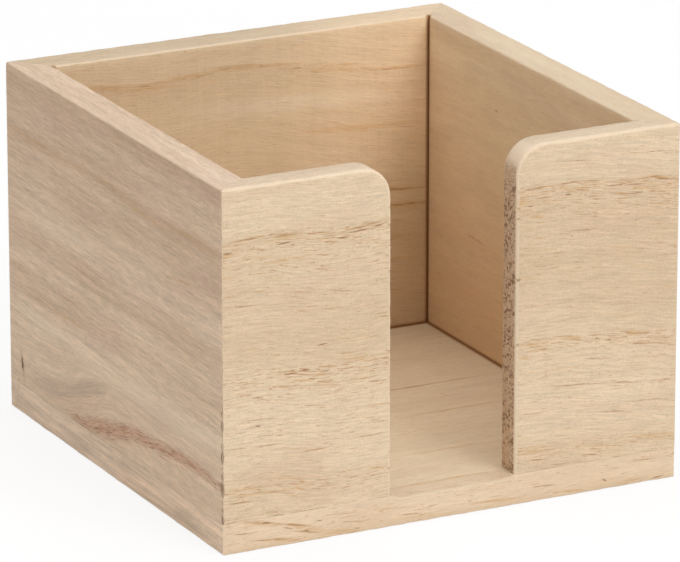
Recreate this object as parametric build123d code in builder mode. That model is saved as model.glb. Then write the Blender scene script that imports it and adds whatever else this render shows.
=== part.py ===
from build123d import *

import os
from math import sqrt

# Open memo box for loose 90 mm note sheets, in raw light hardwood, glued up from boards.
# A base of two edge-glued staves carries four mitred walls; the front wall is two
# uprights with a full-height finger notch between them.
# Millimetres. Origin: middle of the underside. +Z up, +Y to the back, +X to the right.

# The box outside
box_width = 110.0
box_depth = 110.0
box_height = 81.0

# The boards
base_thickness = 7.0
front_stave_depth = 55.0  # front stave of the base, from its front edge to the glue line
side_thickness = 8.0
back_thickness = 8.5
front_thickness = 6.5

# The finger notch
notch_width = 30.0
upright_round = 7.0  # radius of the top corner beside the notch
scoop_depth = 0.4  # sanded hollow in the base's front arris, below the notch
scoop_end_height = 4.0  # height of the round sanding drum that ends the hollow

# Sanding
corner_round = 0.8  # upright corners of the box
arris_ease = 0.5  # all other exposed edges

# Places that follow from the sizes
wall_height = box_height - base_thickness
outer_x = box_width / 2
outer_y = box_depth / 2
inner_x = outer_x - side_thickness
inner_back_y = outer_y - back_thickness
inner_front_y = -outer_y + front_thickness
notch_x = notch_width / 2
glue_line_y = -outer_y + front_stave_depth

outer_back_left = (-outer_x, outer_y)
outer_back_right = (outer_x, outer_y)
outer_front_left = (-outer_x, -outer_y)
inner_back_left = (-inner_x, inner_back_y)
inner_back_right = (inner_x, inner_back_y)
inner_front_left = (-inner_x, inner_front_y)
notch_outer_left = (-notch_x, -outer_y)
notch_inner_left = (-notch_x, inner_front_y)

wall_foot = Plane.XY.offset(base_thickness)
# Square to the bevel of the sanded hollow: local x runs along the arris, local y into it
arris_section = Plane(
    origin=(0, -outer_y, base_thickness), x_dir=(1, 0, 0), z_dir=(0, 1, 1)
)


# The front stave of the base, with the notch's sanded hollow
with BuildPart() as base_front_stave:
    with BuildSketch():
        RectangleRounded(box_width, box_depth, corner_round)
        with Locations((0, glue_line_y)):
            Rectangle(box_width, box_depth, align=(Align.CENTER, Align.MAX), mode=Mode.INTERSECT)
    extrude(amount=base_thickness)
    underside = base_front_stave.faces().sort_by(Axis.Z)[0]
    glued_edge = underside.edges().sort_by(Axis.Y)[-1]
    fillet(underside.edges() - [glued_edge], arris_ease)
    with BuildSketch(arris_section):
        with Locations((0, scoop_depth)):
            SlotOverall(notch_width, scoop_end_height, align=(Align.CENTER, Align.MAX))
    extrude(amount=sqrt(2) * scoop_depth, both=True, mode=Mode.SUBTRACT)
base_front_stave.part.label = "base_front_stave"


# The rear stave, which carries the back wall and the back half of the sides
with BuildPart() as base_rear_stave:
    with BuildSketch():
        RectangleRounded(box_width, box_depth, corner_round)
        with Locations((0, glue_line_y)):
            Rectangle(box_width, box_depth, align=(Align.CENTER, Align.MIN), mode=Mode.INTERSECT)
    extrude(amount=base_thickness)
    underside = base_rear_stave.faces().sort_by(Axis.Z)[0]
    glued_edge = underside.edges().sort_by(Axis.Y)[0]
    fillet(underside.edges() - [glued_edge], arris_ease)
base_rear_stave.part.label = "base_rear_stave"


# A side wall, cut from outer corner to inner corner at both ends
with BuildPart() as left_wall:
    with BuildSketch(wall_foot):
        RectangleRounded(box_width, box_depth, corner_round)
        Polygon(
            outer_front_left,
            inner_front_left,
            inner_back_left,
            outer_back_left,
            mode=Mode.INTERSECT,
        )
    extrude(amount=wall_height)
    top = left_wall.faces().sort_by(Axis.Z)[-1].edges()
    fillet(top.filter_by(Axis.Y) + top.filter_by(GeomType.CIRCLE), arris_ease)
left_wall.part.label = "left_wall"


with BuildPart() as right_wall:
    mirror(left_wall.part, about=Plane.YZ)
right_wall.part.label = "right_wall"


# The back wall, mitred to meet the sides
with BuildPart() as back_wall:
    with BuildSketch(wall_foot):
        RectangleRounded(box_width, box_depth, corner_round)
        Polygon(
            outer_back_left,
            inner_back_left,
            inner_back_right,
            outer_back_right,
            mode=Mode.INTERSECT,
        )
    extrude(amount=wall_height)
    top = back_wall.faces().sort_by(Axis.Z)[-1].edges()
    fillet(top.filter_by(Axis.X) + top.filter_by(GeomType.CIRCLE), arris_ease)
back_wall.part.label = "back_wall"


# A front upright: mitred at the corner of the box, rounded over beside the notch
with BuildPart() as front_left_upright:
    with BuildSketch(wall_foot):
        RectangleRounded(box_width, box_depth, corner_round)
        Polygon(
            outer_front_left,
            notch_outer_left,
            notch_inner_left,
            inner_front_left,
            mode=Mode.INTERSECT,
        )
    extrude(amount=wall_height)
    notch_corner = front_left_upright.edges().filter_by(Axis.Y).group_by(Axis.Z)[-1]
    fillet(notch_corner, upright_round)
    top = front_left_upright.faces().sort_by(Axis.Z)[-1].edges()
    fillet(top.filter_by(Axis.X) + top.filter_by(GeomType.CIRCLE), arris_ease)
front_left_upright.part.label = "front_left_upright"


with BuildPart() as front_right_upright:
    mirror(front_left_upright.part, about=Plane.YZ)
front_right_upright.part.label = "front_right_upright"


os.makedirs("parts", exist_ok=True)
export_step(base_front_stave.part, "parts/base_front_stave.step")
export_step(base_rear_stave.part, "parts/base_rear_stave.step")
export_step(left_wall.part, "parts/left_wall.step")
export_step(right_wall.part, "parts/right_wall.step")
export_step(back_wall.part, "parts/back_wall.step")
export_step(front_left_upright.part, "parts/front_left_upright.step")
export_step(front_right_upright.part, "parts/front_right_upright.step")
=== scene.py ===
import math

import bmesh
import bpy
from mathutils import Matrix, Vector


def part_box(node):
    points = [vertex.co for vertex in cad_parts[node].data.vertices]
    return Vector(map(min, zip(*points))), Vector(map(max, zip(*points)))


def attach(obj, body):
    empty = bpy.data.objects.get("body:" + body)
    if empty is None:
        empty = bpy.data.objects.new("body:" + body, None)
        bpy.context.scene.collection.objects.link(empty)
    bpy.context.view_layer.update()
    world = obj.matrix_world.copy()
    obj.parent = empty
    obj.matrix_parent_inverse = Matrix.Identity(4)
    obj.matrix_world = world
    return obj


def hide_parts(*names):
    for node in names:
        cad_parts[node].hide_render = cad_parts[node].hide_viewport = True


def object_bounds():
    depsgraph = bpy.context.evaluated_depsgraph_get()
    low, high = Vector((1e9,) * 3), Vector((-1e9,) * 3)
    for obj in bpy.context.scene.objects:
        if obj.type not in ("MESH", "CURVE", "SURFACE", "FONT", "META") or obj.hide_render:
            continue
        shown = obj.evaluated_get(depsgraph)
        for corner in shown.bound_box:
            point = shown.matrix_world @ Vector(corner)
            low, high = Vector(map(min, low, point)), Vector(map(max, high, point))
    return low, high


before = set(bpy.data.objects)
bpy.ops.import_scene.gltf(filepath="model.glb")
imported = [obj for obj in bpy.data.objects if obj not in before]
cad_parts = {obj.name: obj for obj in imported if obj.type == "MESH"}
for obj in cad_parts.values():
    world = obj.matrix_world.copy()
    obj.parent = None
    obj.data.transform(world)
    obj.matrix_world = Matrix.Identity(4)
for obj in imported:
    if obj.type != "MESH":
        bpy.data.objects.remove(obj)  # seven glued boards, all on one body
cadLow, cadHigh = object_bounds()
mm = 0.001
up = Vector((0, 0, 1))
print("frame loaded:", ", ".join(sorted(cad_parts)))


# Bench tools: each does one thing that a hand would do in Blender

def selectOnly(*things):
    bpy.ops.object.select_all(action="DESELECT")
    for thing in things:
        thing.select_set(True)
    bpy.context.view_layer.objects.active = things[0]


def startBlock(name, low, high):  # a block at its size and place, its origin at the frame's
    bpy.ops.object.select_all(action="DESELECT")
    bpy.ops.mesh.primitive_cube_add(size=1, location=(low + high) / 2)
    block = bpy.context.object
    block.name = name
    block.data.name = name
    block.scale = high - low
    bpy.ops.object.transform_apply(location=True, rotation=True, scale=True)
    return block


def shave(point, normal, clear=True):  # planes off what lies beyond a point, or only marks the cut
    bpy.ops.mesh.select_all(action="SELECT")
    bpy.ops.mesh.bisect(
        plane_co=point,
        plane_no=normal,
        use_fill=clear,
        clear_outer=clear,
        threshold=1e-7 if clear else 3e-6,  # a mark gives way to points already near it
    )


def weld(reach):  # closes up points and slivers finer than the reach, in millimetres
    bpy.ops.mesh.select_all(action="SELECT")
    bpy.ops.mesh.remove_doubles(threshold=reach * mm)
    bpy.ops.mesh.dissolve_degenerate(threshold=reach * mm)


def crossCut(axis, start, end, step):  # evenly spaced cuts, so that wear can bend the faces
    normal = Vector([float(axis == side) for side in range(3)])
    count = max(1, round((end - start) / step))
    for cut in range(1, count):
        shave(normal * (start + (end - start) * cut / count), normal, clear=False)


def pickEdges(board, test):  # the test sees both ends of an edge, in millimetres
    bpy.ops.mesh.select_all(action="DESELECT")
    mesh = bmesh.from_edit_mesh(board.data)
    for edge in mesh.edges:
        if test(*(corner.co / mm for corner in edge.verts)):
            edge.select_set(True)
    bmesh.update_edit_mesh(board.data)


def pickPoints(board, test):  # the test sees one point, in millimetres
    bpy.ops.mesh.select_all(action="DESELECT")
    mesh = bmesh.from_edit_mesh(board.data)
    for corner in mesh.verts:
        if test(corner.co / mm):
            corner.select_set(True)
    bmesh.update_edit_mesh(board.data)


def carve(board, scoops):  # takes out chips: each is a place, three radii and a turn, in mm and degrees
    cutters = []
    for place, radii, turn in scoops:
        bpy.ops.mesh.primitive_ico_sphere_add(
            subdivisions=2,
            radius=1,
            location=Vector(place) * mm,
            rotation=[math.radians(angle) for angle in turn],
        )
        cutter = bpy.context.object
        cutter.scale = Vector(radii) * mm
        cutters.append(cutter)
    selectOnly(*cutters)
    if len(cutters) > 1:
        bpy.ops.object.join()
    cutter = bpy.context.object
    chips = board.modifiers.new("chips", "BOOLEAN")
    chips.operation = "DIFFERENCE"
    chips.object = cutter
    chips.solver = "EXACT"
    chips.use_self = True
    selectOnly(board)
    bpy.ops.object.modifier_apply(modifier=chips.name)
    bpy.data.objects.remove(cutter)


def wearArrises(board, planes, depth, grain):  # rubs the rounded edges back unevenly, never outwards
    group = board.vertex_groups.new(name="arrises")
    worn = []
    for corner in board.data.vertices:
        near = sum(
            abs(corner.co.dot(normal) - level) < joinery["wearReach"] * mm
            for normal, level in planes
        )
        if near > 1:
            worn.append(corner.index)
    group.add(worn, 1.0, "REPLACE")
    noise = bpy.data.textures.new(board.name + "_wear", "CLOUDS")
    noise.noise_scale = grain * mm
    noise.noise_depth = 1
    rub = board.modifiers.new("wear", "DISPLACE")
    rub.texture = noise
    rub.texture_coords = "LOCAL"
    rub.vertex_group = group.name
    rub.mid_level = 0.35
    rub.strength = -depth * mm
    selectOnly(board)
    bpy.ops.object.modifier_apply(modifier=rub.name)
    board.vertex_groups.clear()
    for corner in board.data.vertices:  # what the rub pushed proud of a face goes back to it
        for normal, level in planes:
            over = corner.co.dot(normal) - level
            if over > 0:
                corner.co -= normal * over


def finishBoard(board, name):
    selectOnly(board)
    bpy.ops.object.mode_set(mode="EDIT")
    weld(joinery["boardWeld"])
    bpy.ops.object.mode_set(mode="OBJECT")
    bpy.ops.object.shade_smooth_by_angle(angle=math.radians(35))
    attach(board, "root")
    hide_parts(name)
    print("board:", name, len(board.data.polygons), "faces")


# How the box goes together

joinery = {
    "arrisEase": 0.65,  # exposed edges, rounded with sandpaper
    "frontEase": 0.85,  # the same on the uprights, which hands rub most
    "cornerRound": 0.45,  # upright corners of the box
    "jointEase": 0.05,  # edges of the glue lines outside
    "innerEase": 0.20,  # edges of the glue lines inside, which no paper reached
    "notchRound": 7.0,
    "notchSegments": 14,
    "underEase": 0.35,  # edges of the underside
    "chipWeld": 0.002,  # finest detail kept once the chips are out
    "boardWeld": 0.001,  # and in the finished board
    "cutStep": 1.5,
    "wearReach": 0.7,  # points this near two faces lie on an arris
    "wearDepth": 0.24,
    "wearGrain": 2.2,
    "glueLineTop": 0.7,  # the glue line of the base leans: its place at the top and at the underside
    "glueLineFoot": -2.1,
}

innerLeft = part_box("left_wall")[1].x
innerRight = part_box("right_wall")[0].x
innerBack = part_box("back_wall")[0].y
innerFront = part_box("front_left_upright")[1].y
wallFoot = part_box("back_wall")[0].z
mitrePoints = {  # each corner of the box in plan: outer point, inner point
    "frontLeft": (Vector((cadLow.x, cadLow.y, 0)), Vector((innerLeft, innerFront, 0))),
    "frontRight": (Vector((cadHigh.x, cadLow.y, 0)), Vector((innerRight, innerFront, 0))),
    "backLeft": (Vector((cadLow.x, cadHigh.y, 0)), Vector((innerLeft, innerBack, 0))),
    "backRight": (Vector((cadHigh.x, cadHigh.y, 0)), Vector((innerRight, innerBack, 0))),
}


def roundCorner(outer):  # an upright corner of the box, in five flats
    lean = Vector((math.copysign(1, outer.x), math.copysign(1, outer.y), 0))
    radius = joinery["cornerRound"] * mm
    centre = Vector((outer.x, outer.y, 0)) - lean * radius
    for degrees in (15, 30, 45, 60, 75):
        angle = math.radians(degrees)
        facing = Vector((lean.x * math.cos(angle), lean.y * math.sin(angle), 0))
        shave(centre + facing * radius, facing)
    return centre + lean.normalized() * radius


def makeWall(name, corners, outward, notchSide=0, chips=()):
    low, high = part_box(name)
    for corner in corners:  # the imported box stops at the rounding, the block runs to the sharp corner
        outer = mitrePoints[corner][0]
        low = Vector((min(low.x, outer.x), min(low.y, outer.y), low.z))
        high = Vector((max(high.x, outer.x), max(high.y, outer.y), high.z))
    middle = (low + high) / 2
    out = Vector(outward)
    faceOut = max(low.dot(out), high.dot(out))
    faceIn = min(low.dot(out), high.dot(out))
    planes = [(out, faceOut), (-out, -faceIn), (up, high.z), (-up, -low.z)]

    wall = startBlock(name, low, high)
    bpy.ops.object.mode_set(mode="EDIT")
    mitres = []
    for corner in corners:
        outer, inner = mitrePoints[corner]
        run = inner - outer
        normal = Vector((run.y, -run.x, 0)).normalized()
        if normal.dot(middle - outer) > 0:
            normal = -normal
        shave(outer, normal)
        mitres.append((outer, inner, normal))

    if notchSide:
        flank = high.x if notchSide > 0 else low.x
        planes.append((Vector((notchSide, 0, 0)), flank * notchSide))
        flankAt, topAt = flank / mm, high.z / mm
        pickEdges(wall, lambda a, b: min(a.z, b.z) > topAt - 0.01
                  and abs(a.x - flankAt) < 0.01 and abs(b.x - flankAt) < 0.01)
        bpy.ops.mesh.bevel(
            offset=joinery["notchRound"] * mm, segments=joinery["notchSegments"], affect="EDGES"
        )

    def exposed(a, b):  # edges of the two faces, less those at the foot and on the mitres
        onFoot = max(a.z, b.z) < wallFoot / mm + 0.01
        onFace = any(
            max(abs(a.dot(out) - level / mm), abs(b.dot(out) - level / mm)) < 0.01
            for level in (faceOut, faceIn)
        )
        onMitre = any(
            max(abs((a - outer / mm).dot(normal)), abs((b - outer / mm).dot(normal))) < 0.01
            for outer, inner, normal in mitres
        )
        return onFace and not onFoot and not onMitre

    pickEdges(wall, exposed)
    rounding = joinery["frontEase" if notchSide else "arrisEase"]
    bpy.ops.mesh.bevel(offset=rounding * mm, segments=3, affect="EDGES", clamp_overlap=False)

    ease = joinery["jointEase"] * mm
    innerEase = joinery["innerEase"] * mm
    for outer, inner, normal in mitres:
        lean = Vector((math.copysign(1, outer.x), math.copysign(1, outer.y), 0)).normalized()
        tip = roundCorner(outer)
        shave(tip - normal * ease, (normal + lean).normalized())
        shave(inner - normal * innerEase, (normal - out).normalized())
        shave(outer + up * high.z - normal * ease, (normal + up).normalized())
    shave(out * faceOut + up * (low.z + ease), (out - up).normalized())
    shave(out * faceIn + up * (low.z + innerEase), (-out - up).normalized())
    bpy.ops.object.mode_set(mode="OBJECT")
    if chips:
        carve(wall, chips)
    selectOnly(wall)
    bpy.ops.object.mode_set(mode="EDIT")
    weld(joinery["chipWeld"])
    along = 0 if outward[1] else 1
    crossCut(along, low[along], high[along], joinery["cutStep"] * mm)
    crossCut(2, low.z, high.z, joinery["cutStep"] * mm)
    bpy.ops.object.mode_set(mode="OBJECT")
    wearArrises(wall, planes, joinery["wearDepth"], joinery["wearGrain"])
    finishBoard(wall, name)
    return wall


leftWallChips = [  # the dry crack of the knot, then the gaps along the front mitre
    ((-55.0, 48.3, 12.0), (0.7, 0.24, 1.5), (8, 0, 0)),
    ((-55.0, 50.3, 7.6), (0.25, 0.3, 0.3), (0, 0, 0)),
    ((-54.95, -54.85, 31.6), (0.28, 0.30, 0.5), (0, 0, 0)),
    ((-54.95, -54.85, 29.0), (0.28, 0.34, 0.9), (0, 0, 0)),
    ((-54.95, -54.85, 27.2), (0.28, 0.28, 0.4), (0, 0, 0)),
    ((-54.95, -54.85, 24.3), (0.30, 0.34, 0.9), (0, 0, 0)),
    ((-54.95, -54.85, 22.0), (0.30, 0.36, 1.1), (0, 0, 0)),
    ((-54.95, -54.85, 17.5), (0.28, 0.32, 0.9), (0, 0, 0)),
    ((-54.95, -54.85, 14.8), (0.34, 0.42, 1.3), (0, 0, 0)),
    ((-54.95, -54.85, 12.0), (0.24, 0.26, 0.4), (0, 0, 0)),
    ((-54.95, -54.85, 8.4), (0.30, 0.34, 1.1), (0, 0, 0)),
    ((-54.95, -54.85, 39.5), (0.22, 0.22, 0.5), (0, 0, 0)),
    ((-54.95, -54.85, 52.0), (0.20, 0.20, 0.6), (0, 0, 0)),
]
rightWallChips = [  # torn fibres on the inner top edge
    ((47.0, 27.8, 81.0), (0.55, 1.5, 0.35), (0, 0, 12)),
    ((47.0, 22.6, 81.0), (0.40, 1.2, 0.30), (0, 0, -10)),
    ((46.95, 9.0, 81.0), (0.45, 1.3, 0.30), (0, 0, 8)),
    ((47.0, -9.0, 81.0), (0.35, 1.0, 0.25), (0, 0, -6)),
    ((47.0, -16.5, 81.0), (0.50, 0.8, 0.30), (0, 0, 15)),
    ((47.0, -27.6, 81.0), (0.40, 1.2, 0.25), (0, 0, -8)),
    ((46.95, -40.5, 81.0), (0.40, 1.6, 0.25), (0, 0, 6)),
    ((47.0, 37.5, 81.0), (0.30, 1.0, 0.25), (0, 0, 0)),
]
backWallChips = [  # splinters lifted by the saw near the left corner
    ((-43.5, 53.2, 81.05), (4.2, 0.14, 0.18), (0, 0, 2)),
    ((-38.0, 52.4, 81.05), (3.6, 0.12, 0.16), (0, 0, -3)),
    ((-40.5, 50.6, 81.05), (2.6, 0.14, 0.16), (0, 0, 4)),
    ((-33.0, 49.6, 81.05), (3.2, 0.12, 0.16), (0, 0, -2)),
    ((-45.0, 48.6, 81.05), (2.2, 0.16, 0.18), (0, 0, 6)),
    ((-29.0, 53.6, 81.05), (2.8, 0.10, 0.14), (0, 0, 1)),
    ((-41.0, 46.6, 81.0), (2.0, 0.35, 0.35), (0, 0, 0)),
    ((-33.5, 46.55, 81.0), (1.2, 0.30, 0.25), (0, 0, 0)),
]
flankFray = [  # heights where the saw tore the fibres of the notch's front edges, and how wide
    (71.5, 0.62), (67.6, 0.85), (66.0, 0.60), (63.2, 0.70), (57.4, 0.85), (54.8, 0.60), (49.0, 0.75),
    (45.5, 0.62),
    (39.6, 0.90), (37.8, 0.66), (33.8, 0.80), (30.2, 0.62), (27.9, 0.74), (22.4, 0.64), (17.0, 0.70),
    (13.2, 0.82),
]
frontLeftChips = [
    ((-15.0, -55.0, level), (width * 1.4, width * 1.15, 0.34), (0, 20, 0))
    for level, width in flankFray
]
frontRightChips = [  # torn pores where the growth lines leave the board
    ((15.1, -55.0, 51.0), (1.0, 0.70, 0.30), (0, 0, 0)),
    ((15.1, -55.0, 67.0), (0.9, 0.75, 0.45), (0, 0, 0)),
    ((15.1, -55.0, 64.8), (0.8, 0.65, 0.25), (0, 0, 0)),
    ((15.1, -55.0, 36.4), (0.8, 0.65, 0.25), (0, 0, 0)),
    ((55.0, -55.0, 69.6), (0.45, 0.50, 0.35), (0, 0, 0)),
    ((55.0, -55.0, 66.6), (0.40, 0.45, 0.35), (0, 0, 0)),
    ((55.0, -55.0, 47.7), (0.40, 0.45, 0.45), (0, 0, 0)),
    ((55.0, -55.0, 42.7), (0.38, 0.42, 0.35), (0, 0, 0)),
]

leftWall = makeWall(
    "left_wall", ["frontLeft", "backLeft"], (-1, 0, 0), chips=leftWallChips
)
rightWall = makeWall(
    "right_wall", ["frontRight", "backRight"], (1, 0, 0), chips=rightWallChips
)
backWall = makeWall("back_wall", ["backLeft", "backRight"], (0, 1, 0), chips=backWallChips)
frontLeft = makeWall(
    "front_left_upright", ["frontLeft"], (0, -1, 0), notchSide=1, chips=frontLeftChips
)
frontRight = makeWall(
    "front_right_upright", ["frontRight"], (0, -1, 0), notchSide=-1, chips=frontRightChips
)


# The base: two staves glued edge to edge, the front one sanded hollow below the notch

hollow = {
    "reach": 4.2,  # how far the sanding runs in from the front
    "drop": 0.95,  # how far it takes the front arris down
    "rows": (0.0, 0.7, 1.4, 2.1, 2.8, 3.5),
    "left": (-15.0, -12.4),  # the sanding starts at the upright and is full here
    "right": (15.0, 11.6),
    "columnStep": 1.0,
}


def makeStave(name, isFront):
    low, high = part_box(name)
    side = 1 if isFront else -1
    glueNormal = Vector((0, side * high.z, -side * (joinery["glueLineTop"] - joinery["glueLineFoot"]) * mm))
    glueNormal.normalize()
    gluePoint = Vector((0, joinery["glueLineTop"] * mm, high.z))
    if isFront:
        low, high = Vector((cadLow.x, cadLow.y, low.z)), Vector((cadHigh.x, 3 * mm, high.z))
        outerPoints = [mitrePoints["frontLeft"][0], mitrePoints["frontRight"][0]]
    else:
        low, high = Vector((cadLow.x, -3 * mm, low.z)), Vector((cadHigh.x, cadHigh.y, high.z))
        outerPoints = [mitrePoints["backLeft"][0], mitrePoints["backRight"][0]]
    stave = startBlock(name, low, high)
    bpy.ops.object.mode_set(mode="EDIT")
    shave(gluePoint, glueNormal)
    edgeAt = (low.y if isFront else high.y) / mm
    sideAt = high.x / mm

    def underEdge(a, b):
        atEdge = abs(a.y - edgeAt) < 0.01 and abs(b.y - edgeAt) < 0.01
        atSide = abs(abs(a.x) - sideAt) < 0.01 and abs(a.x - b.x) < 0.01
        return max(a.z, b.z) < 0.01 and (atEdge or atSide)

    pickEdges(stave, underEdge)
    bpy.ops.mesh.bevel(offset=joinery["underEase"] * mm, segments=3, affect="EDGES", clamp_overlap=False)
    for outer in outerPoints:
        roundCorner(outer)
    ease = joinery["jointEase"] * mm
    for out, level in (
        (Vector((0, -1 if isFront else 1, 0)), cadHigh.y),
        (Vector((-1, 0, 0)), cadHigh.x),
        (Vector((1, 0, 0)), cadHigh.x),
    ):
        shave(out * level + up * (high.z - ease), (out + up).normalized())
    shave(gluePoint - glueNormal * ease, (glueNormal + up).normalized())
    step = joinery["cutStep"] * mm
    if isFront:
        crossCut(0, low.x, high.x, hollow["columnStep"] * mm)
        for row in hollow["rows"][1:] + (hollow["reach"],):
            shave(Vector((0, low.y + row * mm, 0)), Vector((0, 1, 0)), clear=False)
        crossCut(1, low.y + (hollow["reach"] + 0.8) * mm, high.y, 2 * step)
        crossCut(2, low.z, high.z - 1.4 * mm, step)
        sandHollow(stave, low, high)
    else:
        crossCut(0, low.x, high.x, step)
        crossCut(1, low.y, high.y, 2 * step)
        crossCut(2, low.z, high.z, step)
    bpy.ops.object.mode_set(mode="OBJECT")
    planes = [(-up, 0.0), (Vector((-1, 0, 0)), cadHigh.x), (Vector((1, 0, 0)), cadHigh.x)]
    planes.append((Vector((0, -1 if isFront else 1, 0)), cadHigh.y))
    wearArrises(stave, planes, joinery["wearDepth"], joinery["wearGrain"])
    finishBoard(stave, name)
    return stave


def sandHollow(stave, low, high):  # lowers the top front arris row by row and column by column
    topAt, frontAt = high.z / mm, low.y / mm
    columns = range(math.ceil(hollow["left"][0]), math.floor(hollow["right"][0]) + 1)
    for row in hollow["rows"]:
        fade = (1 - row / hollow["reach"]) ** 1.3
        for column in columns:
            fromLeft = (column - hollow["left"][0]) / (hollow["left"][1] - hollow["left"][0])
            fromRight = (column - hollow["right"][0]) / (hollow["right"][1] - hollow["right"][0])
            depth = hollow["drop"] * fade * min(1, max(0, min(fromLeft, fromRight))) ** 0.7
            depth *= 1 + 0.10 * math.sin(column * 0.9) + 0.06 * math.sin(column * 2.3 + 1)
            if depth <= 0:
                continue
            pickPoints(
                stave,
                lambda p: abs(p.x - column) < 0.05
                and p.z > topAt - 0.2
                and (abs(p.y - frontAt - row) < 0.02 or (row == 0 and p.y < frontAt + 0.2)),
            )
            bpy.ops.transform.translate(value=(0, 0, -depth * mm))


baseFront = makeStave("base_front_stave", True)
baseRear = makeStave("base_rear_stave", False)


# Shader tools

class Wire:  # one socket, so that shader maths is written as sums
    def __init__(self, finish, socket):
        self.finish = finish
        self.socket = socket

    def math(self, operation, *values):
        return self.finish.node("ShaderNodeMath", {"operation": operation}, dict(enumerate(values)))

    def also(self, name):  # another output of the same node
        return Wire(self.finish, self.socket.node.outputs[name])

    def __add__(self, other):
        return self.math("ADD", self, other)

    def __sub__(self, other):
        return self.math("SUBTRACT", self, other)

    def __rsub__(self, other):
        return self.math("SUBTRACT", other, self)

    def __mul__(self, other):
        return self.math("MULTIPLY", self, other)

    def __truediv__(self, other):
        return self.math("DIVIDE", self, other)

    def __abs__(self):
        return self.math("ABSOLUTE", self)

    __radd__ = __add__
    __rmul__ = __mul__

    def atLeast(self, other):
        return self.math("MAXIMUM", self, other)

    def atMost(self, other):
        return self.math("MINIMUM", self, other)


class Finish:  # one material and its nodes
    def __init__(self, name):
        self.material = bpy.data.materials.new(name)
        self.material.use_nodes = True
        self.tree = self.material.node_tree
        self.tree.nodes.clear()

    def node(self, kind, settings=None, inputs=None, output=0):
        made = self.tree.nodes.new(kind)
        for key, value in (settings or {}).items():
            if key == "stops":
                self.setStops(made.color_ramp, *value)
            else:
                setattr(made, key, value)
        for key, value in (inputs or {}).items():
            if isinstance(value, Wire):
                self.tree.links.new(value.socket, made.inputs[key])
            else:
                made.inputs[key].default_value = value
        return Wire(self, made.outputs[output]) if len(made.outputs) else None

    def setStops(self, ramp, blend, stops):
        ramp.interpolation = blend
        while len(ramp.elements) > 1:
            ramp.elements.remove(ramp.elements[-1])
        ramp.elements[0].position = stops[0][0]
        ramp.elements[0].color = (stops[0][1],) * 3 + (1,)
        for position, level in stops[1:]:
            ramp.elements.new(position).color = (level, level, level, 1)

    def vector(self, x, y, z):
        return self.node("ShaderNodeCombineXYZ", None, {0: x, 1: y, 2: z})

    def noise(self, spot, detail=2.0):  # about -0.25 to 0.25
        texture = {"Vector": spot, "Scale": 1.0, "Detail": detail}
        return self.node("ShaderNodeTexNoise", None, texture) - 0.5

    def soft(self, value, start, end):  # 0 before start, 1 after end, or the other way round
        span = {"Value": value, "From Min": start, "From Max": end}
        return self.node("ShaderNodeMapRange", {"interpolation_type": "SMOOTHSTEP"}, span)

    def curve(self, value, points, blend="EASE"):  # a smooth line through (place, level) points
        first, last = points[0][0], points[-1][0]
        base = min(level for place, level in points)
        rise = max(level for place, level in points) - base or 1.0
        stops = [((place - first) / (last - first), (level - base) / rise) for place, level in points]
        here = (value - first) / (last - first)
        return self.node("ShaderNodeValToRGB", {"stops": (blend, stops)}, {0: here}) * rise + base

    def mix(self, factor, first, second, blend="MIX"):
        first, second = (
            value if isinstance(value, Wire) else (*value, 1.0) for value in (first, second)
        )
        settings = {"data_type": "RGBA", "blend_type": blend}
        return self.node("ShaderNodeMix", settings, {0: factor, 6: first, 7: second}, output=2)

    def lighten(self, colour, level):  # scales a colour, above 1 lighter and below 1 darker
        return self.node("ShaderNodeVectorMath", {"operation": "SCALE"}, {0: colour, "Scale": level})


# Raw paulownia, seen as a solid: rings, pores and fibres run through the board

poreLayers = [(2.0, 0.19, 1.0), (5.0, 0.26, 0.8)]  # length, width and strength
strokeKinds = {  # colour, strength and how broken up the stroke is
    "dark": ((0.27, 0.12, 0.045), 0.85, 0.55),
    "line": ((0.44, 0.235, 0.10), 0.80, 0.65),
    "honey": ((0.62, 0.375, 0.165), 0.60, 0.65),
    "rosy": ((0.50, 0.27, 0.16), 0.55, 0.65),
    "light": ((0.82, 0.67, 0.50), 0.45, 0.30),
}
creaseShadeTint = (0.36, 0.160, 0.045)  # painted shade along the inner corners of the well


def creaseShadeMask(finish, x, y, z):  # where painted shade goes: 1 on the inner corners of the well, 0 from about a millimetre away
    near = None
    for value, level in ((x, innerLeft), (x, innerRight), (y, innerBack), (z, wallFoot)):
        here = finish.soft(abs(value - level / mm), 1.0, 0.1)
        near = here if near is None else near + here
    inside = finish.soft(abs(x), 48.6, 47.8) * finish.soft(abs(y + 1), 49.1, 48.3)
    inside = inside * finish.soft(z, 5.5, 6.5)
    return (near - 1.0).atLeast(0.0).atMost(1.0) * inside


def drawStrokes(finish, spot, strokes):  # each runs from one point to another with half a width
    nearest = None
    for start, startHeight, end, endHeight, width in strokes:
        run, rise = end - start, endHeight - startHeight
        ellipse = {
            "Vector": spot,
            "Location": ((start + end) / 2, (startHeight + endHeight) / 2, 0),
            "Rotation": (0, 0, math.atan2(rise, run)),
            "Scale": (math.hypot(run, rise) / 2 + width, width, 1),
        }
        inside = finish.node("ShaderNodeMapping", {"vector_type": "TEXTURE"}, ellipse)
        far = finish.node("ShaderNodeVectorMath", {"operation": "LENGTH"}, {0: inside}, output=1)
        nearest = far if nearest is None else nearest.atMost(far)
    return finish.soft(nearest, 1.1, 0.3)


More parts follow.
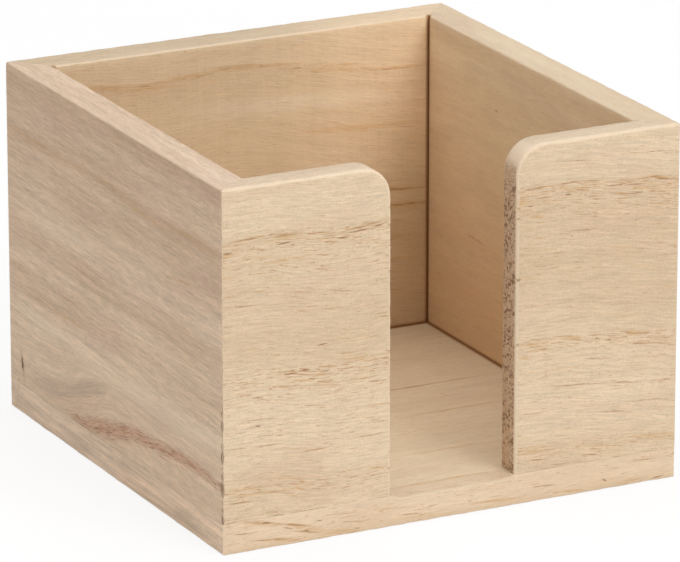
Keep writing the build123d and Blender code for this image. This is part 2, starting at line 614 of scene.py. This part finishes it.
def woodFinish(name, look):
    finish = Finish(name)
    coords = finish.node("ShaderNodeTexCoord", output=3)
    place = finish.node("ShaderNodeVectorMath", {"operation": "SCALE"}, {0: coords, "Scale": 1 / mm})
    x = finish.node("ShaderNodeSeparateXYZ", None, {0: place})
    y, z = x.also("Y"), x.also("Z")
    along, across, deep = {"wallX": (x, z, y), "wallY": (y, z, x), "flat": (x, y, z)}[look["lay"]]
    facing = finish.node("ShaderNodeSeparateXYZ", None, {0: coords.also("Normal")})
    facingAlong = abs(facing.also("Y") if look["lay"] == "wallY" else facing)
    seed = look["seed"]

    def grain(length, width, height, detail=2.0):  # noise drawn out along the grain
        spot = finish.vector(along / length + seed, height / width, deep / width + seed)
        return finish.noise(spot, detail)

    # the growth rings, as a height across the board that drifts along the grain
    height = across + grain(38.0, 13.0, across, 1.0) * look["drift"] + grain(5.0, 1.6, across) * 0.45
    bend = finish.curve(along, look["bend"], "CARDINAL")
    if "bendReach" in look:
        bend = bend * finish.soft(across, *look["bendReach"])
    ring = height - bend + (deep - look["face"]) * look["ringTilt"]
    fibre = across + grain(26.0, 6.0, across, 1.0) * look["wander"] + along * look["slant"] - bend

    tone = finish.curve(ring, look["tone"]) + grain(34.0, 16.0, across) * look["blotch"]
    tone = (tone + grain(70.0, 3.2, fibre, 1.0) * look["bands"]).atLeast(0.0).atMost(1.0)
    colour = finish.mix(tone, look["pale"], look["tan"])
    flush = finish.soft(grain(24.0, 7.0, across, 1.0), 0.0, 0.18)
    colour = finish.mix(flush * look["flush"], colour, look["rose"])

    # fibres at three sizes, light and dark
    fine = grain(4.0, 0.32, fibre)
    shade = 1 + fine * look["fine"] + grain(16.0, 1.0, fibre) * look["medium"]
    shade = shade + finish.noise(finish.vector(x / 0.45, y / 0.45, z / 0.45)) * look["fuzz"]
    colour = finish.lighten(colour, shade)

    # pores: short brown tubes, thick where a ring starts
    density = finish.curve(ring, look["poreDensity"]) + grain(16.0, 2.5, fibre, 1.0) * 0.5
    haze = finish.soft(grain(13.0, 0.8, fibre) + density * 0.20, 0.10, 0.26)
    colour = finish.mix(haze * look["haze"], colour, look["hazeTint"])
    tubes = None
    for length, width, power in poreLayers:
        layer = finish.soft(grain(length, width, fibre) + density * 0.17, 0.17, 0.25) * power
        tubes = layer if tubes is None else tubes.atLeast(layer)
    endGrain = finish.soft(facingAlong, 0.89, 0.98)
    colour = finish.mix((1 - endGrain) * tubes * look["poreStrength"], colour, look["pore"])

    # lines and dashes that this board shows, each a soft stroke along the grain
    gaps = finish.soft(grain(2.4, 0.4, fibre), -0.10, 0.10)
    for kind, strokes in look["strokes"].items():
        ink, power, broken = strokeKinds[kind]
        marks = drawStrokes(finish, finish.vector(along, height, 0), strokes)
        marks = marks * (1 - broken + gaps * broken)
        colour = finish.mix(marks * power * look["strokePower"], colour, ink)
    for extra in look["extras"]:
        colour = extra(finish, colour, (x, y, z), facing, grain)

    # end grain drinks the light and shows its pores as dots
    rough = finish.noise(finish.vector(x / 0.4, y / 0.4, z / 0.4))
    clusters = finish.noise(finish.vector(along / 9.0, (across + deep * 0.7) / 2.2, deep / 5.0))
    grit = finish.noise(finish.vector(along / 2.0, across / 0.58, deep / 0.62))
    dot = finish.soft(grit + clusters * 0.55, 0.04, 0.15)
    fleck = finish.soft(grit + clusters * 0.3, -0.08, -0.18)
    ends = finish.lighten(look["endTint"], 1 + rough * look["endGrit"])
    lines = finish.noise(finish.vector(x / 3.0, y / 11.0, z / 0.6))
    lines = lines + finish.noise(finish.vector(x, y / 26.0, z / 3.0))
    ends = finish.lighten(ends, 1 + lines * look["endLines"])
    ends = finish.mix(fleck * look["endPores"] * 0.6, ends, (0.76, 0.62, 0.46))
    ends = finish.mix(dot * look["endPores"], ends, (0.22, 0.115, 0.058))
    colour = finish.mix(endGrain, colour, ends)

    # rubbed arrises show paler, worn and with a painted highlight, and the top paler; inner corners get
    # painted shade
    turned = abs(facing).atLeast(abs(facing.also("Y"))).atLeast(abs(facing.also("Z")))
    creaseShade = creaseShadeMask(finish, x, y, z)
    # sanded wear and a painted highlight where the surface turns off the faces: arrises and rounded corners
    rubbedHighlight = finish.soft(turned, 0.985, 0.86) * (0.8 + rough) * (1 - creaseShade)
    colour = finish.mix(rubbedHighlight * look["rubbedHighlight"], colour, look["rubbedHighlightTint"])
    topFace = finish.soft(facing.also("Z"), 0.6, 0.95)
    colour = finish.mix(topFace, colour, look["topTint"], "MULTIPLY")
    # painted shade darkens the inner corners of the well
    colour = finish.mix(creaseShade * 0.85, colour, creaseShadeTint)
    for overlay in look["overlays"]:
        colour = overlay(finish, colour, (x, y, z))

    sheen = 0.74 + fine * 0.3 + tubes * 0.1
    relief = fine * 0.10 + rough * 0.05 - tubes * 0.03 - endGrain * dot * 0.08
    bump = finish.node(
        "ShaderNodeBump", None, {"Height": relief, "Distance": mm, "Strength": look["relief"]}
    )
    shader = finish.node(
        "ShaderNodeBsdfPrincipled", None,
        {"Base Color": colour, "Roughness": sheen, "Normal": bump, "Specular IOR Level": 0.30},
    )
    finish.node("ShaderNodeOutputMaterial", None, {"Surface": shader})
    return finish.material


# painted shade inside the gaps along the front-left mitre
mitreGapShade = {
    "sideSpread": 0.95,  # how far a gap reaches back along the left wall
    "frontSpread": 0.38,  # and across the front
    "widen": 1.1,
    "tint": (0.11, 0.05, 0.025),
}
tipNicks = [  # height, length and width of the gaps left along the front mitre
    (31.6, 0.6, 0.7), (29.0, 1.2, 0.9), (27.2, 0.4, 0.6), (24.3, 1.0, 0.8), (22.0, 1.6, 1.0),
    (17.5, 1.2, 0.8), (14.8, 1.9, 1.1), (12.0, 0.4, 0.6), (7.9, 1.6, 0.9), (35.4, 0.3, 0.5),
    (39.5, 0.3, 0.5), (19.6, 0.3, 0.5), (10.2, 0.3, 0.6), (52.0, 0.3, 0.5),
]


def tipGapShade(finish, colour, place):  # painted shade in the gaps where the mitre's tips don't quite meet
    x, y, z = place
    nicks = [
        (level - size / 2, 0.0, level + size / 2, 0.0, width * mitreGapShade["widen"])
        for level, size, width in tipNicks
    ]
    reach = (y + 55) / mitreGapShade["sideSpread"] + (x + 55) / mitreGapShade["frontSpread"]
    gaps = drawStrokes(finish, finish.vector(z, reach, 0), nicks)
    return finish.mix(gaps * 0.9, colour, mitreGapShade["tint"])


plainLook = {
    "lay": "wallX",  # which way the grain runs, and the board lies
    "seed": 1.0,
    "drift": 1.6,
    "wander": 1.2,
    "face": -55.0,  # how deep its best seen face lies
    "ringTilt": 0.5,
    "slant": 0.05,
    "bend": [(-55, 0.0), (0, 0.01), (55, 0.0)],
    "tone": [(0, 0.3), (81, 0.3)],
    "poreDensity": [(0, 0.1), (81, 0.1)],
    "fine": 0.50,
    "medium": 0.12,
    "fuzz": 0.26,
    "bands": 0.5,
    "blotch": 0.8,
    "pale": (0.77, 0.605, 0.42),
    "tan": (0.63, 0.465, 0.295),
    "rose": (0.70, 0.50, 0.345),
    "flush": 0.30,
    "pore": (0.49, 0.235, 0.085),
    "poreStrength": 0.75,
    "haze": 0.28,
    "hazeTint": (0.68, 0.45, 0.235),
    "endGrit": 1.1,
    "endLines": 0.0,
    "endTint": (0.64, 0.45, 0.29),
    "endPores": 0.8,
    # strength and colour of the rubbed wear and painted highlight on the arrises
    "rubbedHighlight": 0.75,
    "rubbedHighlightTint": (0.88, 0.71, 0.52),
    "topTint": (0.95, 0.97, 1.01),
    "relief": 0.6,
    "strokePower": 1.0,
    "strokes": {},
    "extras": [],
    "overlays": [],  # painted last, over the rubbed edges and their painted highlight
}

frontLeftLook = {
    **plainLook,
    "seed": 2.0,
    "overlays": [tipGapShade],
    "bend": [(-55, 0.2), (-46, 0.6), (-37, 0.0), (-29, -0.5), (-20, -0.1), (-15, 0.2)],
    "tone": [
        (0, 0.15), (9, 0.05), (13.5, 0.22), (15, 0.20), (20, 0.0), (30, 0.02), (38, 0.20),
        (40, 0.44), (46, 0.58), (54, 0.54), (61, 0.38), (66, 0.34), (69, 0.38), (71, 0.20), (81, 0.16),
    ],
    "poreDensity": [
        (0, 0.25), (3, 0.40), (8, 0.25), (10, 0.10), (12, 0.35), (15, 0.45), (15.8, 0.05), (20, 0.08),
        (24, 0.18), (30, 0.15), (33, 0.25), (36, 0.45), (39.2, 0.60), (40, 0.10), (48, 0.10), (60, 0.20),
        (64, 0.30), (67, 0.50), (69.2, 0.55), (69.9, 0.0), (81, 0.0),
    ],
    "strokes": {
        "line": [
            (-54, 69.2, -44, 69.7, 0.30), (-44, 69.2, -36, 68.9, 0.28), (-36, 68.9, -28, 68.4, 0.22),
            (-28, 68.0, -15, 69.1, 0.28), (-33, 60.9, -30, 60.4, 0.3), (-55, 55.3, -46, 54.8, 0.2),
            (-36, 31.1, -32, 30.6, 0.25), (-51, 29.6, -41, 29.0, 0.2), (-43, 39.3, -33, 38.2, 0.22),
            (-55, 23.8, -49, 23.4, 0.22), (-48, 23.5, -40, 23.0, 0.2), (-38, 20.4, -29, 20.8, 0.2),
            (-25, 21.9, -15, 21.8, 0.2), (-55, 11.6, -47, 11.3, 0.25), (-30, 55.6, -22, 54.3, 0.2),
            (-19, 48.2, -15, 47.6, 0.22), (-47, 25.7, -43, 25.4, 0.2), (-21, 33.6, -16, 33.4, 0.22),
        ],
        "dark": [
            (-55, 66.9, -52.4, 66.9, 0.24), (-42.6, 67.3, -38.4, 67.6, 0.24),
            (-31.5, 67.7, -27.5, 67.3, 0.2),
            (-28, 66.7, -25, 66.4, 0.2), (-26, 67.5, -19.5, 67.9, 0.22), (-20, 67.8, -15.4, 68.6, 0.2),
            (-41, 38.2, -37, 38.4, 0.2), (-36.6, 38.6, -34.3, 38.7, 0.2), (-35, 36.7, -32.6, 36.4, 0.2),
            (-48, 34.3, -45.2, 34.2, 0.2), (-47.3, 28.0, -46, 28.0, 0.24), (-32, 37.7, -29.8, 37.8, 0.22),
            (-17.4, 38.4, -15.2, 38.2, 0.24), (-17.6, 33.3, -16, 33.4, 0.2), (-33, 43.4, -30, 43.6, 0.2),
        ],
        "honey": [
            (-47, 63.7, -33, 64.1, 0.45), (-26, 64.9, -15, 64.6, 0.3), (-28, 39.4, -15, 39.2, 0.5),
            (-21.5, 28.5, -15, 28.1, 0.35), (-55, 14.9, -44, 14.0, 0.45), (-54, 13.2, -43, 12.6, 0.35),
            (-42, 12.6, -33, 12.8, 0.3), (-21, 14.4, -15, 13.6, 0.4), (-56, 66.4, -52, 66.3, 0.6),
            (-44, 68.4, -37, 68.6, 0.5), (-41, 36.9, -32, 36.2, 0.3),
        ],
    },
}

frontRightLook = {
    **plainLook,
    "seed": 3.4,
    "bend": [(15, 0.4), (29, 0.3), (38, -0.6), (47, -1.4), (55, -2.4)],
    "tone": [
        (0, 0.28), (8, 0.22), (12, 0.34), (13, 0.14), (22, 0.08), (31, 0.14), (36, 0.30),
        (38, 0.46), (45, 0.55), (54, 0.66), (64, 0.62), (68, 0.42), (71, 0.46), (72.5, 0.26), (81, 0.22),
    ],
    "poreDensity": [
        (0, 0.25), (7, 0.15), (9, 0.30), (12.2, 0.45), (13, 0.05), (20, 0.10), (25, 0.20), (31, 0.20),
        (34, 0.40), (36.2, 0.60), (37.2, 0.05), (46, 0.10), (56, 0.12), (62, 0.20), (66, 0.40),
        (70.8, 0.65), (71.6, 0.0), (81, 0.0),
    ],
    "strokes": {
        "line": [
            (15, 71.0, 24, 70.9, 0.28), (24, 71.2, 32, 71.3, 0.25), (31, 71.2, 37, 70.6, 0.28),
            (46, 69.9, 55, 68.2, 0.35), (30, 67.3, 35, 67.2, 0.2), (33, 66.7, 37.4, 66.2, 0.22),
            (27, 60.3, 36, 59.9, 0.2), (18, 37.2, 23, 36.9, 0.3), (26, 36.9, 31.4, 36.3, 0.25),
            (31, 30.9, 39.6, 29.8, 0.22), (22, 25.8, 40, 24.1, 0.25), (38, 24.2, 47, 23.4, 0.25),
            (47, 23.3, 55, 23.1, 0.25), (16, 20.6, 22, 20.1, 0.22), (35, 17.9, 43, 17.1, 0.22),
            (17, 9.6, 24, 8.9, 0.22), (31, 8.6, 36, 8.1, 0.22), (23, 7.6, 33, 6.9, 0.2),
            (15, 6.8, 19, 6.5, 0.2), (41, 33.2, 55, 31.2, 0.3), (42, 19.2, 54, 18.6, 0.2),
            (23, 76.4, 34, 75.6, 0.15), (40, 76.2, 55, 75.0, 0.15),
        ],
        "dark": [
            (17.4, 67.4, 19.4, 67.3, 0.22), (26.8, 68.6, 28.2, 68.5, 0.26),
            (36.5, 69.2, 41.4, 68.8, 0.22),
            (41.4, 68.7, 46, 68.2, 0.22), (42.4, 66.5, 46, 66.4, 0.20), (47.6, 69.7, 50, 69.4, 0.22),
            (49, 69.0, 52.4, 68.5, 0.22), (40.6, 36.0, 43.8, 35.2, 0.22), (43.6, 35.1, 48.4, 34.5, 0.28),
            (34.6, 35.4, 36, 34.9, 0.22), (37, 34.8, 38.6, 34.4, 0.22), (15, 51.0, 16, 51.0, 0.35),
            (38.6, 17.6, 40, 17.5, 0.2),
        ],
        "honey": [
            (16, 66.6, 19, 66.4, 0.4), (15, 68.5, 17.4, 68.0, 1.0), (18.6, 64.9, 21.4, 64.4, 0.5),
            (26, 36.5, 31, 35.7, 0.5), (17, 36.4, 21, 35.8, 0.5), (40, 35.9, 49, 34.6, 0.6),
            (41, 10.9, 55, 10.3, 0.35), (48, 10.1, 55, 9.4, 0.35), (15, 11.6, 23, 11.2, 0.9),
            (15, 33.5, 20, 32.6, 0.4), (26, 70.2, 30, 68.5, 0.5), (47, 70.0, 53, 68.8, 0.4),
        ],
    },
}

leftWallKnot = {  # the grain that swings round a knot outside the board
    "smudge": [(-55, 24), (-12, 18.5), (-4.4, 20.0), (4, 18.2), (12, 16.0), (24.7, 11.8), (33.3, 9.8),
        (41.5, 9.4), (55, 11)],
    "smudgeTint": (0.40, 0.30, 0.235),
    "streak": [(-55, 15.0), (-46.8, 15.7), (-38, 15.8), (-29.6, 15.2), (-20.5, 14.4), (-8.8, 13.2),
        (0, 11.0),
               (9.4, 9.4), (15, 8.0), (22, 7.5), (55, 5)],
    "streakTint": (0.50, 0.21, 0.115),
    "streakPores": (0.20, 0.09, 0.05),
    "crack": (48.2, 12.1),
}


def knotMarks(finish, colour, place, facing, grain):
    knot = leftWallKnot
    along, across = place[1], place[2]
    rise = across - finish.curve(along, knot["smudge"], "CARDINAL")
    lines = finish.soft(grain(14.0, 0.45, rise), -0.08, 0.10)
    smudge = finish.soft(rise, 4.5, 0.2) * finish.soft(rise, -1.2, 0.2)
    smudge = smudge * finish.soft(along, 47.0, 26.0) * finish.soft(along, 1.0, 8.0)
    edge = finish.soft(abs(rise - 0.3), 0.7, 0.1) * finish.soft(along, 50.0, 40.0)
    edge = edge * finish.soft(along, 1.0, 6.0)
    smudge = smudge.atLeast(edge) * (0.55 + lines * 0.45)
    colour = finish.mix(smudge * 0.42, colour, knot["smudgeTint"])
    rise = across - finish.curve(along, knot["streak"], "CARDINAL") + grain(6.0, 2.0, across) * 0.8
    width = finish.curve(along, [(-55, 1.5), (-20, 1.8), (0, 2.6), (12, 2.4), (20, 1.1), (24, 0.4),
        (55, 0.2)])
    streak = finish.soft(abs(rise) / width, 1.25, 0.2) * finish.soft(along, 27.0, 18.0)
    fade = finish.curve(along, [(-55, 0.8), (-35, 0.9), (-25, 1.0), (-5, 1.0), (20, 0.8), (55, 0.8)])
    threads = finish.soft(grain(5.0, 0.28, rise), -0.06, 0.14)
    streak = streak * fade
    colour = finish.mix(streak * (0.34 + threads * 0.40), colour, knot["streakTint"])
    tubes = finish.soft(grain(3.0, 0.3, rise), 0.03, 0.13) * streak
    colour = finish.mix(tubes * 0.60, colour, knot["streakPores"])
    branch = finish.soft(abs(rise + 2.2), 0.55, 0.1) * finish.soft(along, -18.0, -24.0)
    branch = branch * finish.soft(along, -40.0, -34.0)
    colour = finish.mix(branch * threads * 0.5, colour, knot["streakTint"])
    centre, level = knot["crack"]
    run = (across - level) * 0.22
    off = abs(along - centre - run) / 0.55 + abs(across - level) / 1.9
    colour = finish.mix(finish.soft(off, 1.15, 0.75), colour, (0.03, 0.015, 0.008))
    halo = finish.soft(off, 3.4, 0.8)
    return finish.mix(halo * 0.35, colour, (0.38, 0.26, 0.17))


leftWallLook = {
    **plainLook,
    "lay": "wallY",
    "seed": 4.6,
    "drift": 1.4,
    "slant": -0.01,
    "strokePower": 0.7,
    "bend": [(-55, 8.5), (-30, 9.0), (-10, 9.5), (3, 8.8), (10, 6.0), (20, 2.5), (28, 0.8), (40, 0.0),
        (55, 0.0)],
    "bendReach": (26.0, 18.0),
    "tone": [
        (-10, 0.30), (3, 0.25), (8, 0.35), (14, 0.30), (20, 0.15), (24, 0.10), (27, 0.25), (31, 0.50),
        (35, 0.45),
        (38, 0.35), (42, 0.60), (44, 0.55), (48, 0.22), (51, 0.30), (54, 0.60), (60, 0.58), (64, 0.62),
        (66.5, 0.80), (68, 0.55), (72, 0.62), (76, 0.70), (80, 1.0), (81, 1.0),
    ],
    "poreDensity": [(0, 0.0), (22, 0.0), (30, 0.2), (45, 0.15), (50, 0.0), (60, 0.1), (66, 0.3),
        (70, 0.2), (81, 0.3)],
    "fine": 0.60,
    "medium": 0.34,
    "fuzz": 0.30,
    "bands": 0.9,
    "wander": 0.5,
    "pale": (0.83, 0.64, 0.46),
    "tan": (0.61, 0.42, 0.285),
    "rose": (0.67, 0.46, 0.35),
    "rubbedHighlight": 0.35,
    "topTint": (1.15, 1.25, 1.34),
    "flush": 0.25,
    "pore": (0.42, 0.27, 0.17),
    "poreStrength": 0.45,
    "haze": 0.35,
    "hazeTint": (0.58, 0.40, 0.245),
    "strokes": {
        "honey": [
            (26, 66.8, 57, 66.6, 0.7), (8, 67.0, 34, 66.4, 0.6), (-14, 66.8, 12, 67.0, 0.5),
            (20, 65.4, 57, 65.2, 0.5),
            (-30, 65.0, -4, 65.6, 0.9), (-57, 66.2, -24, 66.8, 0.9), (-57, 65.0, -36, 65.2, 0.4),
            (-40, 55.6, -29, 55.4, 0.6), (12, 29.8, 36, 29.6, 0.7), (-44, 63.4, -20, 64.0, 0.3),
        ],
        "rosy": [
            (32, 42.3, 52, 43.2, 0.6), (33, 42.1, 40, 42.2, 0.45), (5, 42.6, 26, 43.0, 0.6),
            (42, 34.5, 55, 35.0, 1.2), (14, 34.2, 30, 34.5, 0.7), (-4, 34.0, 0, 34.0, 0.5),
        ],
        "line": [(-40, 55.7, -33, 55.6, 0.25), (-30, 54.4, -27, 54.2, 0.2), (30, 29.8, 48, 30.2, 0.25)],
        "light": [(2, 49.6, 42, 49.4, 1.3), (20, 24.5, 55, 25.5, 2.0), (-50, 21.5, 0, 22.0, 1.5)],
    },
    "extras": [knotMarks],
    "overlays": [tipGapShade],
}

rightWallLook = {
    **plainLook,
    "lay": "wallY",
    "face": 47.0,
    "fine": 0.22,
    "fuzz": 0.12,
    "poreStrength": 0.25,
    "haze": 0.15,
    "topTint": (0.90, 0.93, 1.0),
    "seed": 6.2,
    "slant": 0.04,
    "tone": [
        (0, 1.0), (10, 0.9), (30, 0.6), (50, 0.35), (60, 0.25), (71, 0.25), (73, 0.0), (75, 0.0),
        (76.5, 0.35), (81, 0.35),
    ],
    "poreDensity": [(0, 0.15), (81, 0.15)],
    "pale": (0.86, 0.68, 0.45),
    "tan": (0.74, 0.52, 0.32),
    "strokes": {"dark": [(13.2, 66.4, 14.2, 66.6, 0.3)], "rosy": [(18, 33.4, 28, 33.6, 0.5)]},
}


def backLightAndSanding(finish, colour, place, facing, grain):  # a painted pool of light on the right upper part of the board, and sanding marks
    x, y, z = place
    paintedLightPool = finish.soft(x, 0.0, 34.0) * finish.soft(z, 36.0, 58.0)
    sanding = finish.noise(finish.vector(x / 1.1, y, z / 24.0))
    sanding = sanding + finish.noise(finish.vector(x / 7.0, y, z / 14.0), 1.0)
    # painted light lifts the right upper part by up to a quarter
    return finish.lighten(colour, 1 + paintedLightPool * 0.26 + sanding * 0.10)


backWallLook = {
    **plainLook,
    "face": 46.5,
    "fine": 0.26,
    "fuzz": 0.13,
    "medium": 0.16,
    "flush": 0.15,
    "poreStrength": 0.45,
    "topTint": (0.87, 0.89, 0.94),
    "seed": 7.7,
    "bend": [(-47, 0.6), (-33, 0.0), (-20, -0.6), (-5, 0.8), (2, 0.7), (14, -1.0), (26, -3.2),
        (47, -5.4)],
    "tone": [
        (0, 0.65), (20, 0.62), (42, 0.55), (46, 0.45), (62, 0.42), (72, 0.34), (74, 0.46), (75, 0.20),
        (81, 0.25),
    ],
    "poreDensity": [(0, 0.15), (60, 0.10), (72, 0.25), (74.5, 0.5), (75, 0.05), (81, 0.1)],
    "pale": (0.75, 0.58, 0.385),
    "tan": (0.61, 0.435, 0.265),
    "extras": [backLightAndSanding],
    "strokes": {
        "honey": [
            (-48, 75.4, -24, 73.7, 0.8), (-27, 73.6, -6, 74.7, 0.8), (-10, 74.6, 8, 74.6, 0.8),
            (3, 74.6, 16, 73.4, 0.5), (15, 73.2, 34, 71.0, 0.5), (-34, 73.2, -14, 72.5, 0.6),
            (14, 72.0, 30, 70.2, 0.5), (29, 70.3, 49, 68.8, 0.5), (14, 41.8, 49, 40.0, 1.3),
            (26, 36.8, 49, 36.0, 1.1),
            (10, 57.6, 48, 56.0, 0.9), (20, 30.0, 48, 28.6, 0.8), (18, 24.4, 48, 23.6, 0.6),
        ],
        "line": [
            (-28, 74.0, -22, 73.2, 0.2), (-13, 73.8, -8, 74.2, 0.2), (-6, 74.9, -2, 75.0, 0.2),
            (14, 71.4, 20, 70.9, 0.16), (30, 70.0, 47, 68.7, 0.16), (12, 72.7, 15, 72.4, 0.25),
            (24, 41.4, 49, 39.8, 0.4), (34, 36.6, 49, 36.2, 0.4),
        ],
        "light": [(-10, 34.5, 48, 33.6, 1.6), (-20, 66.0, 48, 63.0, 2.5)],
    },
}


baseEdgeStrokes = {
    "honey": [
        (-52, 7.4, -40, 4.4, 0.8), (-41, 4.9, -30, 1.6, 0.9), (-32, 1.4, -22, 0.5, 0.7),
        (26, 1.5, 33, 0.6, 0.5), (40, 0.8, 47, 1.2, 0.5), (-47, 2.2, -36, 0.8, 0.6),
        (-20, 4.6, -8, 3.6, 0.4),
        (4, 2.2, 18, 1.4, 0.4),
    ],
    "line": [
        (-50, 6.8, -41, 5.0, 0.3), (-44, 5.6, -34, 3.4, 0.3), (-50, 2.5, -38, 1.2, 0.25),
        (-53, 4.4, -47, 4.0, 0.2),
        (-39, 3.0, -31, 1.4, 0.3), (-30, 5.2, -22, 4.6, 0.2), (-27, 3.1, -20, 2.2, 0.2),
        (38, 4.4, 41, 4.5, 0.2),
        (19, 3.4, 26, 3.1, 0.2), (-14, 2.4, -6, 1.8, 0.2), (43, 5.4, 52, 5.2, 0.2),
    ],
    "dark": [
        (36.8, 2.5, 37.8, 1.8, 0.26), (49, 0.6, 52.4, 1.0, 0.22), (-46, 6.2, -43.6, 5.6, 0.2),
        (-41, 4.2, -38.4, 3.4, 0.2), (-36, 2.7, -34, 2.1, 0.2), (-33, 4.4, -31.6, 4.2, 0.18),
        (-24, 1.2, -22.4, 1.0, 0.2),
    ],
}


def edgeMarks(finish, colour, place, facing, grain):  # what shows on the base's front edge, and painted shade on the sanded hollow
    x, y, z = place
    # painted shade: the sanded hollow below the notch is darkened where it faces up
    ramp = finish.soft(y, -50.2, -51.4) * finish.soft(abs(x), 15.0, 12.5)
    ramp = ramp * finish.soft(facing.also("Z"), 0.4, 0.8)
    colour = finish.mix(ramp, colour, (0.93, 0.885, 0.88), "MULTIPLY")
    seen = finish.soft(facing.also("Y"), -0.5, -0.9)
    low = finish.soft(z + grain(20.0, 3.0, z) * 6, 3.4, 0.0)
    colour = finish.mix(low * seen * 0.22, colour, (0.60, 0.40, 0.21))
    for kind, strokes in baseEdgeStrokes.items():
        ink, power, broken = strokeKinds[kind]
        marks = drawStrokes(finish, finish.vector(x, z, 0), strokes)
        gaps = finish.soft(grain(2.4, 0.4, z), -0.10, 0.10)
        colour = finish.mix(marks * seen * (1 - broken + gaps * broken) * power, colour, ink)
    return colour


baseLook = {
    **plainLook,
    "lay": "flat",
    "face": 7.0,
    "fuzz": 0.12,
    "topTint": (0.92, 0.96, 0.95),
    "seed": 8.3,
    "ringTilt": 1.0,
    "slant": 0.01,
    "tone": [(-55, 0.18), (-40, 0.15), (-20, 0.25), (5, 0.35), (8, 0.50), (30, 0.50), (55, 0.55)],
    "poreDensity": [(-55, 0.16), (-52, 0.12), (-45, 0.05), (55, 0.05)],
    "fine": 0.30,
    "pale": (0.83, 0.655, 0.47),
    "tan": (0.71, 0.525, 0.34),
    "endTint": (0.84, 0.63, 0.455),
    "endPores": 0.08,
    "endGrit": 0.25,
    "endLines": 0.7,
    "extras": [edgeMarks],
    "strokes": {
        "line": [(-10, 7.4, 47, 7.0, 0.45)],
        "honey": [(-18, -50.9, 16, -50.6, 0.7), (-5, -33.2, 22, -33.6, 0.6),
            (8, -10.2, 40, -10.4, 0.7), (-5, -20.5, 30, -19.5, 0.3)],
    },
}
baseRearLook = {**baseLook, "seed": 9.1, "endTint": (0.805, 0.615, 0.455)}

for board, finishName, look in (
    (leftWall, "leftWallWood", leftWallLook),
    (rightWall, "rightWallWood", rightWallLook),
    (backWall, "backWallWood", backWallLook),
    (frontLeft, "frontLeftWood", frontLeftLook),
    (frontRight, "frontRightWood", frontRightLook),
    (baseFront, "baseFrontWood", baseLook),
    (baseRear, "baseRearWood", baseRearLook),
):
    board.data.materials.clear()
    board.data.materials.append(woodFinish(finishName, look))
    print("finish:", finishName, len(board.data.materials[0].node_tree.nodes), "nodes")


# Stage, lights and camera

studio = {
    "floorHalf": 3.0,
    "floorGrey": 0.80,
    "floorShade": 0.22,  # the share of the floor's own shading that the camera sees, the rest is white
    "floorWhite": 1.06,
    "sky": 0.35,
    "lamps": {  # place, size and power; all point at the middle of the box
        "overhead": ((0.0, 0.0, 1.6), 1.6, 12.5),
        "key": ((0.5, -1.4, 1.2), 0.8, 10.8),
        "frontFill": ((0.0, -1.8, 0.5), 1.0, 5.2),
        "leftFill": ((-1.8, 0.0, 0.6), 1.2, 3.9),
        "rightFill": ((1.8, 0.0, 0.6), 1.2, 1.7),
        "backFill": ((0.0, 1.2, 1.2), 1.2, 2.1),
    },
    "lampAim": (0.0, 0.0, 0.04),
}


def makeFloor():
    bpy.ops.object.select_all(action="DESELECT")
    bpy.ops.mesh.primitive_plane_add(size=2 * studio["floorHalf"], location=(0, 0, -0.02 * mm))
    floor = bpy.context.object
    floor.name = "floor"
    finish = Finish("paleFloor")
    ray = finish.node("ShaderNodeLightPath")
    seen = (ray + ray.also("Is Glossy Ray") + ray.also("Is Transmission Ray")).atMost(1.0)
    grey = studio["floorGrey"]
    matte = finish.node("ShaderNodeBsdfDiffuse", None, {"Color": (grey, grey, grey, 1)})
    glow = {"Color": (1, 1, 1, 1), "Strength": studio["floorWhite"]}
    white = finish.node("ShaderNodeEmission", None, glow)
    share = seen * (1 - studio["floorShade"])
    both = finish.node("ShaderNodeMixShader", None, {0: share, 1: matte, 2: white})
    finish.node("ShaderNodeOutputMaterial", None, {"Surface": both})
    floor.data.materials.append(finish.material)


def makeLights():
    world = bpy.data.worlds.new("studio")
    bpy.context.scene.world = world
    world.use_nodes = True
    backdrop = world.node_tree.nodes["Background"]
    backdrop.inputs["Color"].default_value = (1, 1, 1, 1)
    backdrop.inputs["Strength"].default_value = studio["sky"]
    for name, (spot, size, power) in studio["lamps"].items():
        facing = (Vector(studio["lampAim"]) - Vector(spot)).to_track_quat("-Z", "Y").to_euler()
        bpy.ops.object.light_add(type="AREA", location=spot, rotation=facing)
        lamp = bpy.context.object
        lamp.name = name
        lamp.data.shape = "SQUARE"
        lamp.data.size = size
        lamp.data.energy = power


viewpoint = {  # fitted to the corners of the box in the photograph
    "azimuth": -26.93,
    "elevation": 17.90,
    "distance": 1.3872,
    "aim": (0.00065, 0.0, 0.03727),
    "lens": 332.1,
    "sensor": 36,
    "clip": (0.01, 50),
}


def makeCamera():
    azimuth = math.radians(viewpoint["azimuth"])
    elevation = math.radians(viewpoint["elevation"])
    back = Vector((
        math.sin(azimuth) * math.cos(elevation),
        -math.cos(azimuth) * math.cos(elevation),
        math.sin(elevation),
    ))
    bpy.ops.object.camera_add(
        location=Vector(viewpoint["aim"]) + back * viewpoint["distance"],
        rotation=(-back).to_track_quat("-Z", "Y").to_euler(),
    )
    camera = bpy.context.object
    camera.data.sensor_width = viewpoint["sensor"]
    camera.data.lens = viewpoint["lens"]
    camera.data.clip_start, camera.data.clip_end = viewpoint["clip"]
    bpy.context.scene.camera = camera


makeFloor()
makeLights()
makeCamera()
bpy.context.scene.view_settings.view_transform = "Standard"
print("stage, lights and camera are in place")
